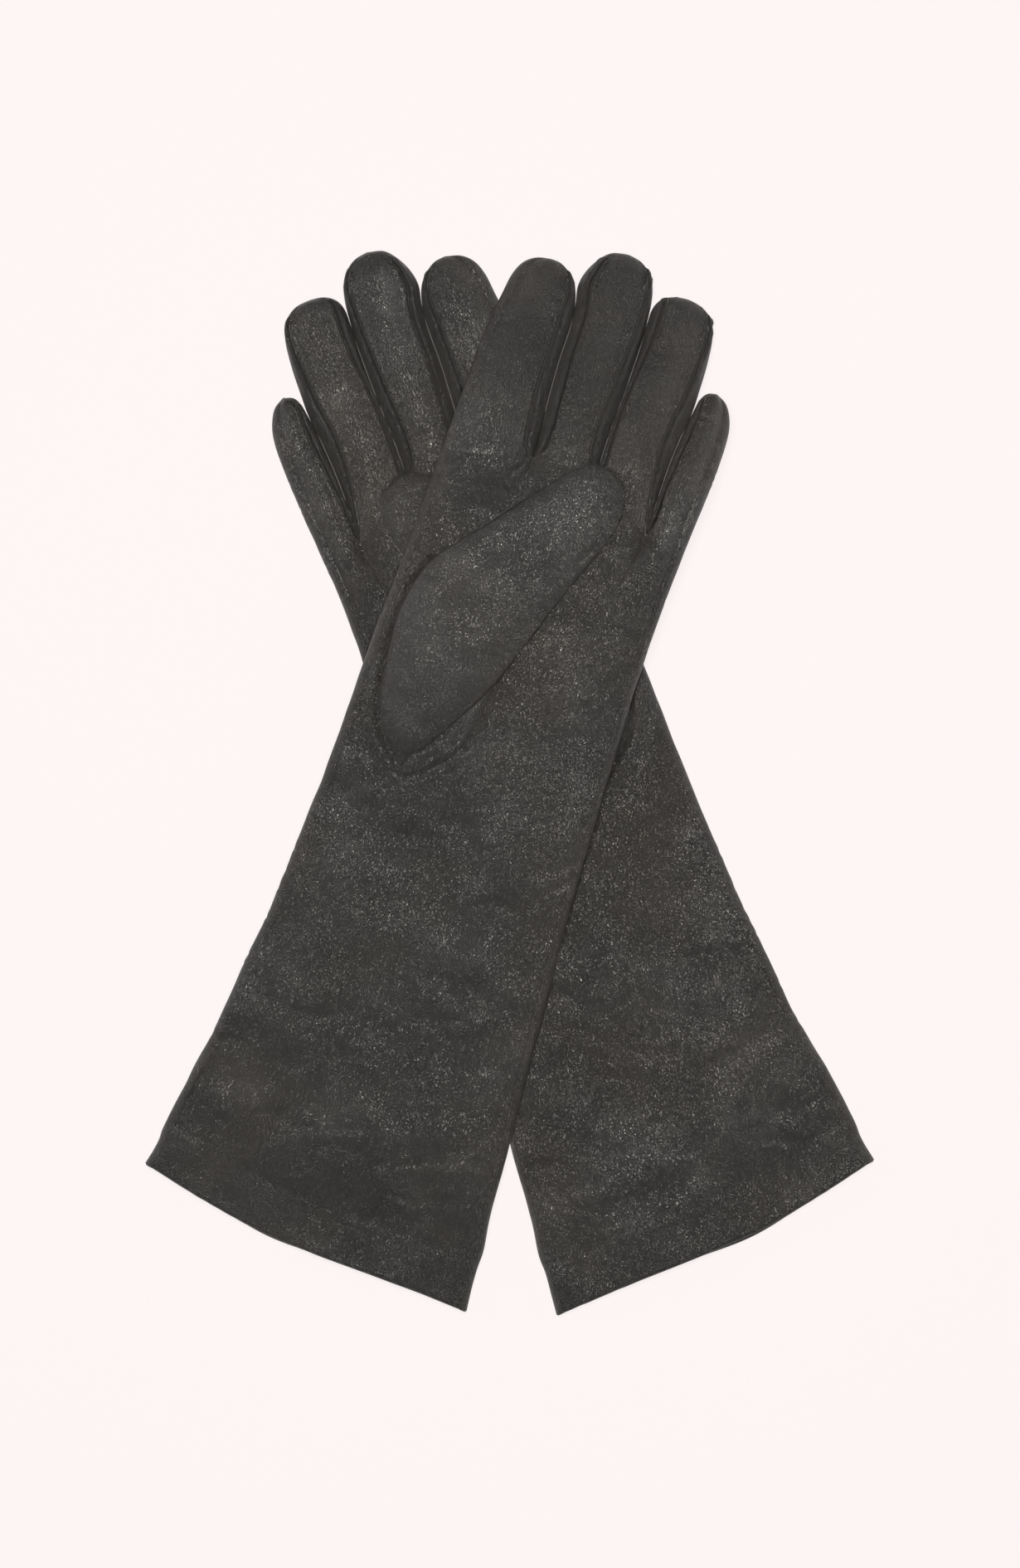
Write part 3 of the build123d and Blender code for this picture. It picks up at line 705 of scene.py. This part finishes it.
def leather(name, dark, painted_sheen_tint, grain=1.0, wrinkle=1.0, stretch=0.62, rough=(0.31, 0.43)):
    """Smooth nappa: fine crackled grain, soft wrinkles, and a painted highlight: lighter brown-grey patches
    laid at random by broad noise, standing in for the soft sheen.
    """
    m, tree, skin = new_material(name)
    skin.inputs["Specular IOR Level"].default_value = 0.9
    skin.inputs["Sheen Weight"].default_value = 0.06
    skin.inputs["Sheen Roughness"].default_value = 0.4
    skin.inputs["Sheen Tint"].default_value = (0.9, 0.82, 0.74, 1)
    place = node(tree, "ShaderNodeTexCoord")
    uv = node(tree, "ShaderNodeMapping")
    uv.inputs["Scale"].default_value = (1000, 1000 * stretch, 1000)
    tree.links.new(place.outputs["UV"], uv.inputs["Vector"])
    body = node(tree, "ShaderNodeMapping")
    body.inputs["Scale"].default_value = (1000, 1000, 1000)
    tree.links.new(place.outputs["Object"], body.inputs["Vector"])

    def noise(vector, scale, detail=2.0, rough=0.5, distort=0.0):
        made = node(tree, "ShaderNodeTexNoise")
        values = {"Scale": scale, "Detail": detail, "Roughness": rough, "Distortion": distort}
        for key, value in values.items():
            made.inputs[key].default_value = value
        tree.links.new(vector, made.inputs["Vector"])
        return made

    def cells(vector, scale):
        made = node(tree, "ShaderNodeTexVoronoi", feature="DISTANCE_TO_EDGE")
        made.inputs["Scale"].default_value = scale
        tree.links.new(vector, made.inputs["Vector"])
        return made.outputs["Distance"]

    warp = node(tree, "ShaderNodeVectorMath", operation="MULTIPLY_ADD")
    tree.links.new(noise(uv.outputs[0], 0.7, 3.0, 0.6).outputs["Color"], warp.inputs[0])
    warp.inputs[1].default_value = (2.2, 2.2, 2.2)
    tree.links.new(uv.outputs[0], warp.inputs[2])
    v = warp.outputs[0]
    # broad noise that lays out the patches of painted highlight below
    sheen_patch_noise = noise(body.outputs[0], 0.028, 3.0, 0.55).outputs["Fac"]
    patch = noise(body.outputs[0], 0.06, 3.0, 0.6).outputs["Fac"]
    dry = ramp(tree, patch, 0.36, 0.66, 0.45, 1.0)
    crackle = ramp(tree, cells(v, 1.25), 0.0, 0.17)
    fine = ramp(tree, cells(v, 2.6), 0.0, 0.25)
    lines = ramp(tree, noise(v, 0.42, 4.0, 0.6, 1.2).outputs["Fac"], 0.46, 0.54)
    pores = noise(uv.outputs[0], 5.0, 2.0, 0.6).outputs["Fac"]
    height = maths(tree, "MULTIPLY", maths(tree, "MULTIPLY", crackle, dry), 0.75 * grain)
    height = maths(tree, "ADD", height, maths(tree, "MULTIPLY", fine, 0.3 * grain))
    height = maths(tree, "ADD", height, maths(tree, "MULTIPLY", lines, 0.22 * wrinkle))
    height = maths(tree, "ADD", height, maths(tree, "MULTIPLY", pores, 0.15 * grain))
    swell = noise(body.outputs[0], 0.034, 2.0, 0.4).outputs["Fac"]
    slack = node(tree, "ShaderNodeBump")
    slack.inputs["Distance"].default_value = 0.0024
    tree.links.new(swell, slack.inputs["Height"])
    bump = node(tree, "ShaderNodeBump")
    bump.inputs["Strength"].default_value = 0.9
    bump.inputs["Distance"].default_value = 0.0003
    tree.links.new(height, bump.inputs["Height"])
    tree.links.new(slack.outputs[0], bump.inputs["Normal"])
    tree.links.new(bump.outputs[0], skin.inputs["Normal"])

    # painted highlight: the base colour turns lighter brown-grey over broad random patches, standing in for
    # the leather's soft sheen
    hide = mixed(tree, dark, painted_sheen_tint, ramp(tree, sheen_patch_noise, 0.36, 0.68))
    lined = node(tree, "ShaderNodeMix", data_type="RGBA", blend_type="MULTIPLY")
    tree.links.new(hide, lined.inputs["A"])
    tree.links.new(ramp(tree, crackle, 0.0, 0.8, 0.35, 1.0), lined.inputs["B"])
    tree.links.new(maths(tree, "MULTIPLY", dry, 0.8), lined.inputs["Factor"])
    tree.links.new(lined.outputs["Result"], skin.inputs["Base Color"])
    shine = ramp(tree, patch, 0.35, 0.7, rough[0], rough[1])
    gloss = maths(tree, "ADD", shine, maths(tree, "MULTIPLY", pores, 0.08))
    tree.links.new(gloss, skin.inputs["Roughness"])
    return m


def fabric(name, dark, light, scale=(900, 900), rough=0.85, bump_by=0.00012):
    """Fine knitted lining, or sewing thread, as twisted ribs."""
    m, tree, cloth = new_material(name)
    cloth.inputs["Roughness"].default_value = rough
    cloth.inputs["Sheen Weight"].default_value = 0.3
    place = node(tree, "ShaderNodeTexCoord")
    ribs = node(tree, "ShaderNodeMapping")
    ribs.inputs["Scale"].default_value = (scale[0], scale[1], 900)
    tree.links.new(place.outputs["Object"], ribs.inputs["Vector"])
    wave = node(tree, "ShaderNodeTexWave", wave_type="BANDS")
    wave.inputs["Scale"].default_value = 0.6
    wave.inputs["Distortion"].default_value = 2.5
    wave.inputs["Detail"].default_value = 2.0
    tree.links.new(ribs.outputs[0], wave.inputs["Vector"])
    tree.links.new(mixed(tree, dark, light, wave.outputs["Fac"]), cloth.inputs["Base Color"])
    bump = node(tree, "ShaderNodeBump")
    bump.inputs["Distance"].default_value = bump_by
    tree.links.new(wave.outputs["Fac"], bump.inputs["Height"])
    tree.links.new(bump.outputs[0], cloth.inputs["Normal"])
    return m


# each leather's second colour is its painted highlight, the lighter brown-grey that stands in for the soft
# sheen
TRANK = leather("glove_leather", (0.0040, 0.0040, 0.0046), (0.017, 0.0145, 0.0120))
FINGER = leather(
    "finger_leather", (0.0042, 0.0041, 0.0046), (0.018, 0.0152, 0.0125), grain=0.85, wrinkle=0.8, stretch=0.45
)
FORK = leather(
    "fourchette_leather", (0.0034, 0.0033, 0.0036), (0.010, 0.0088, 0.0078), grain=0.7, stretch=1.6
)
THUMB = leather(
    "thumb_leather", (0.0042, 0.0044, 0.0054), (0.016, 0.0142, 0.0130), grain=0.8, wrinkle=0.7, stretch=0.7
)
LINING = fabric("lining_knit", (0.010, 0.010, 0.011), (0.022, 0.022, 0.024))
THREAD = fabric("sewing_thread", (0.008, 0.008, 0.009), (0.03, 0.029, 0.028), (2600, 2600), 0.6)

# ---- turning skins into pieces ----


def new_piece(name, points, faces, uv, normals, material):
    """A named mesh piece in the scene, in metres."""
    mesh = bpy.data.meshes.new(name)
    mesh.from_pydata(points.tolist(), [], faces)
    mesh.polygons.foreach_set("use_smooth", [True] * len(mesh.polygons))
    if uv is not None:
        layer = mesh.uv_layers.new(name="hide")
        layer.uv.foreach_set("vector", uv.astype(np.float32).ravel())
    mesh.materials.append(material)
    mesh.update()
    if normals is not None:
        mesh.normals_split_custom_set_from_vertices(normals.tolist())
    piece = bpy.data.objects.new(name, mesh)
    bpy.context.scene.collection.objects.link(piece)
    return piece


def cut_piece(name, points, normals, parts, material, flip):
    """One named piece of the skin, with the whole skin's normals, so that its borders don't show."""
    quads = np.vstack([q for q, _ in parts])
    uvs = np.vstack([w for _, w in parts])
    used, where = np.unique(quads[quads >= 0], return_inverse=True)
    local = np.full(quads.shape, -1)
    local[quads >= 0] = where
    faces, uv = [], []
    for row, w in zip(local.tolist(), uvs):
        n = 4 if row[3] >= 0 else 3
        corners, w = row[:n], w[:n]
        if flip:
            corners, w = corners[::-1], w[::-1]
        faces.append(corners)
        uv.append(w)
    return new_piece(name, points[used], faces, np.vstack(uv) / 1000, normals[used], material)


def stitches(name, runs, pitch, length, width, material):
    """Small thread stitches laid along runs of (points, normals) in metres."""
    points, faces = [], []
    for line, up in runs:
        run = np.r_[0, np.cumsum(np.linalg.norm(np.diff(line, axis=0), axis=1))]
        count = int(run[-1] / pitch)
        for k in range(count):
            at = (k + 0.5) * pitch
            here = np.array([np.interp(at, run, line[:, j]) for j in range(3)])
            ahead = np.array([np.interp(at + pitch * 0.3, run, line[:, j]) for j in range(3)]) - here
            n = np.array([np.interp(at, run, up[:, j]) for j in range(3)])
            if np.linalg.norm(ahead) < 1e-9:
                continue
            ahead /= np.linalg.norm(ahead)
            n = n - (n @ ahead) * ahead
            n /= np.linalg.norm(n)
            side = np.cross(n, ahead)
            start = len(points)
            for u, size in ((-0.5, 0.25), (-0.32, 0.9), (0.32, 0.9), (0.5, 0.25)):
                for a in range(6):
                    turn = a * math.pi / 3
                    points.append(here + ahead * u * length + size * width / 2 * (
                        side * math.cos(turn) + n * math.sin(turn)) + n * width * 0.12 * (1 - 4 * u * u))
            for r in range(3):
                for a in range(6):
                    b = (a + 1) % 6
                    low, high = start + r * 6, start + r * 6 + 6
                    faces.append([low + a, low + b, high + b, high + a])
            faces.append([start + a for a in range(5, -1, -1)])
            faces.append([start + 18 + a for a in range(6)])
    return new_piece(name, np.array(points), faces, None, None, material)


def tube(name, rings, tip, flip, material):
    """A lining sleeve through rings of points, closed by a tip point where one is given."""
    n = len(rings[0])
    points = [p for ring in rings for p in ring]
    faces = []
    for r in range(len(rings) - 1):
        for c in range(n):
            d = (c + 1) % n
            faces.append([r * n + c, r * n + d, (r + 1) * n + d, (r + 1) * n + c])
    if tip is not None:
        points.append(tip)
        for c in range(n):
            faces.append([(len(rings) - 1) * n + c, (len(rings) - 1) * n + (c + 1) % n, len(points) - 1])
    if not flip:
        faces = [f[::-1] for f in faces]
    return new_piece(name, np.array(points), faces, None, None, material)


def loops(part):
    """The index loops round a tube, one per row."""
    return np.hstack([part["front"], part["right"], part["back"], part["left"]])


def relieved(skin, points, body_count, thumb_count, g):
    """The skin's points moved out and in by the leather's swells, creases and seams."""
    seed = SEEDS[g]
    facts = np.vstack(skin.facts)
    quads = np.vstack([q for parts in skin.faces.values() for q, _ in parts])
    out = np.zeros(len(points))
    out[:body_count] = relief(facts[:body_count], seed)
    of_thumb = slice(body_count, thumb_count)
    edge = np.where(facts[of_thumb, 2] > 0, 1.0, 0.2)
    out[of_thumb] = thumb_relief(facts[of_thumb], edge, seed + 20)
    out[thumb_count:] = -0.3 * np.exp(-((facts[thumb_count:, 3] / 0.6) ** 2))
    if g == "right":  # its back lies flat on the table
        out = np.where((facts[:, 2] < 0) & (out > 0), out * 0.3, out)
    points = points + vertex_normals(points, quads) * out[:, None]
    return points, vertex_normals(points, quads)


def turn_in_hem(skin, points, normals, rings, deep):
    """The cuff's edge turns in: a rounded edge, then the hem's facing back up inside."""
    roll = points[rings[0]] - normals[rings[0]] * 0.5 + [0, -0.45, 0]
    inner = [points[rings[r]] - normals[rings[r]] * 1.0 for r in range(deep)]
    roll_i = skin.add(roll, 0)
    inner_i = np.array([skin.add(ring, 0) for ring in inner])
    wrap = np.r_[0: rings.shape[1], 0]
    u = np.broadcast_to(np.arange(len(wrap)) * 1.3, (2, len(wrap)))
    skin.grid("trank", np.vstack([roll_i[wrap], rings[0][wrap]]), u, np.array([[-1.0], [0.0]]) + 0 * u)
    u = np.broadcast_to(np.arange(len(wrap)) * 1.3, (deep + 1, len(wrap)))
    v = np.arange(deep + 1)[:, None] * 1.2 + 0 * u
    index = np.vstack([roll_i[wrap][None], inner_i[:, wrap]])
    skin.grid("cuff_hem", index[:, ::-1], u[:, ::-1], HEM_HIDE + v)
    return np.vstack([points, roll, *inner])


def settle(piece, g, finger=None):
    """Rides the hand where the finger or thumb has no body of its own; otherwise bakes the piece's placement
    into its points, without bending it.
    """
    body = f"{g}_{finger}"
    if body not in BODIES:
        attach(piece, f"{g}_hand")
        return
    joint = JOINTS[f"{g}_{finger}_fold"]
    axis = np.array(joint["axis"])
    up = spin([[0, 0, 1.0]], g)[0]
    away = np.cross(up, axis) * (1 if np.cross(up, axis)[1] > 0 else -1)
    away /= np.linalg.norm(away)
    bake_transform(piece)


def leather_pieces(glove):
    """Cuts the skin into one leather piece for each of the CAD's."""
    g = glove.g
    for label, parts in glove.skin.faces.items():
        finger = label.split("_")[0]
        if "fourchette" in label:
            material = FORK
        elif label.endswith("finger"):
            material = FINGER
        elif label.startswith("thumb"):
            material = THUMB
        else:
            material = TRANK
        name = f"{g}_{label}_leather"
        piece = cut_piece(name, glove.world, glove.normals, parts, material, g == "right")
        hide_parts(f"{g}_{label}")
        settle(piece, g, finger if finger in FINGERS or label == "thumb" else None)


def lining_pieces(glove):
    """A knitted sleeve inside the hand, each finger and the thumb."""
    g = glove.g

    def inset(index, by):
        return set_down(glove.points[index] - glove.flat_normals[index] * by, g)

    def sleeve(part, rings, tip, finger=None):
        piece = tube(f"{g}_{part}_lining_knit", rings, tip, g == "right", LINING)
        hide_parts(f"{g}_{part}_lining")
        settle(piece, g, finger)

    rows = list(range(glove.deep - 3, HAND_ROWS, 5)) + [HAND_ROWS]
    sleeve("hand", [inset(glove.rings[r][::4], 1.25) for r in rows], None)
    for name, part in glove.fingers.items():
        ring = loops(part)
        rows = range(1, FINGER_ROWS - 3, 3)
        tip = inset(np.array([part["tip"]]), 3.0)[0]
        sleeve(name, [inset(ring[r][::3], 1.0) for r in rows], tip, name)
    cut = glove.thumb["cut"]
    ring = np.hstack([glove.thumb["front"], glove.thumb["back"][:, 1:-1]])
    rows = range(26, cut, 3)
    sleeve("thumb_base", [inset(ring[r][::2], 0.55) for r in rows], None)
    rows = range(cut, THUMB_ROWS - 4, 3)
    tip = glove.world[ring[THUMB_ROWS - 2]].mean(0)
    sleeve("thumb", [inset(ring[r][::2], 0.55) for r in rows], tip, "thumb")


def sewing(glove):
    """Rows of small stitches beside each finger's seams, up the hand's side and round the thumb."""
    g = glove.g

    def line(index, lift):
        return set_down(glove.points[index] + glove.flat_normals[index] * lift, g), glove.normals[index]

    def sew(part, runs, sizes, finger=None):
        piece = stitches(f"{g}_{part}_stitches", runs, *sizes, THREAD)
        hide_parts(f"{g}_{part.removesuffix('_seam')}_seam_thread")
        settle(piece, g, finger)

    for name, part in glove.fingers.items():
        runs = []
        for side, column, back_column in (("left", 2, -3), ("right", -3, 2)):
            if (name, side) not in (("index", "left"), ("little", "right")):
                runs.append(line(part["front"][6:-3, column], 0.05))
                runs.append(line(part["back"][6:-3, back_column], 0.05))
        sew(name, runs, (0.0021, 0.0013, 0.00034), name)
    runs = [line(glove.hand["right"][8:, 2], 0.08), line(glove.hand["right"][8:, 4], 0.05)]
    sew("side_seam", runs, (0.0024, 0.0015, 0.00034))
    runs = [line(glove.thumb["front"][1:34, 2], 0.1), line(glove.gusset[2:40, 1], 0.1)]
    sew("thumb_seam", runs, (0.0019, 0.0011, 0.00036))


def build_glove(g):
    skin = Skin()
    hand = hand_skin(skin)
    webs = [web_line(skin, hand, i) for i in range(3)]
    fingers = {name: finger_skin(skin, hand, webs, name) for name in FINGERS}
    body_count = skin.count
    thumb = thumb_skin(skin)
    thumb_count = skin.count
    gusset = gusset_skin(skin)
    points, normals = relieved(skin, np.vstack(skin.points), body_count, thumb_count, g)
    rings = loops(hand)
    deep = int(np.searchsorted(hand["rows"] * HAND_LENGTH, HEM_DEPTH)) + 1
    points = turn_in_hem(skin, points, normals, rings, deep)
    quads = np.vstack([q for parts in skin.faces.values() for q, _ in parts])
    world = set_down(points, g)
    normals = vertex_normals(world, quads)
    glove = SimpleNamespace(
        g=g, skin=skin, hand=hand, fingers=fingers, thumb=thumb, gusset=gusset, rings=rings, deep=deep,
        points=points, flat_normals=vertex_normals(points, quads), world=world,
        normals=-normals if g == "right" else normals,
    )
    leather_pieces(glove)
    lining_pieces(glove)
    sewing(glove)


build_glove("right")
build_glove("left")

# ---- stage, light and camera ----


def pale_floor():
    """A plain floor that glows a little, so that it stays evenly pale."""
    mesh = bpy.data.meshes.new("floor")
    mesh.from_pydata([(-3, -3, 0), (3, -3, 0), (3, 3, 0), (-3, 3, 0)], [], [(0, 1, 2, 3)])
    paper = bpy.data.materials.new("pale_paper")
    paper.use_nodes = True
    shader = paper.node_tree.nodes["Principled BSDF"]
    shader.inputs["Base Color"].default_value = (0.10, 0.094, 0.094, 1)
    shader.inputs["Roughness"].default_value = 0.9
    shader.inputs["Specular IOR Level"].default_value = 0.0
    shader.inputs["Emission Color"].default_value = (1.0, 0.94, 0.94, 1)
    shader.inputs["Emission Strength"].default_value = 0.86
    mesh.materials.append(paper)
    floor_piece = bpy.data.objects.new("floor", mesh)
    bpy.context.scene.collection.objects.link(floor_piece)


def area_light(name, at, size, power, color):
    """A soft lamp aimed at the middle of the floor, which the camera doesn't see."""
    data = bpy.data.lights.new(name, "AREA")
    data.shape = "RECTANGLE"
    data.size, data.size_y = size
    data.energy = power
    data.color = color
    lamp = bpy.data.objects.new(name, data)
    bpy.context.scene.collection.objects.link(lamp)
    lamp.location = at
    lamp.rotation_mode = "QUATERNION"
    lamp.rotation_quaternion = (-Vector(at)).to_track_quat("-Z", "Y")
    lamp.visible_camera = False


def dim_room():
    """What little light comes from all round."""
    world = bpy.data.worlds.new("studio")
    world.use_nodes = True
    glow = world.node_tree.nodes["Background"]
    glow.inputs[0].default_value = (1, 0.99, 0.985, 1)
    glow.inputs[1].default_value = 0.03
    bpy.context.scene.world = world


def camera_overhead(lens, height):
    """A long lens straight above, so that the upper glove isn't drawn larger than the lower one."""
    data = bpy.data.cameras.new("camera")
    data.lens, data.sensor_width = lens, 36
    data.clip_start, data.clip_end = 0.01, 20
    camera = bpy.data.objects.new("camera", data)
    bpy.context.scene.collection.objects.link(camera)
    camera.location = (0, 0, height)
    bpy.context.scene.camera = camera


pale_floor()
area_light("overhead", (-0.04, 0.1, 1.5), (0.3, 0.4), 27, (1.0, 0.95, 0.88))
area_light("left_fill", (-1.5, 0.5, 0.7), (0.8, 0.8), 3.5, (0.93, 0.96, 1.0))
area_light("right_fill", (1.5, 0.1, 0.7), (0.8, 0.8), 2.5, (0.93, 0.96, 1.0))
dim_room()
bpy.context.scene.view_settings.view_transform = "Standard"
camera_overhead(135, 1.985)
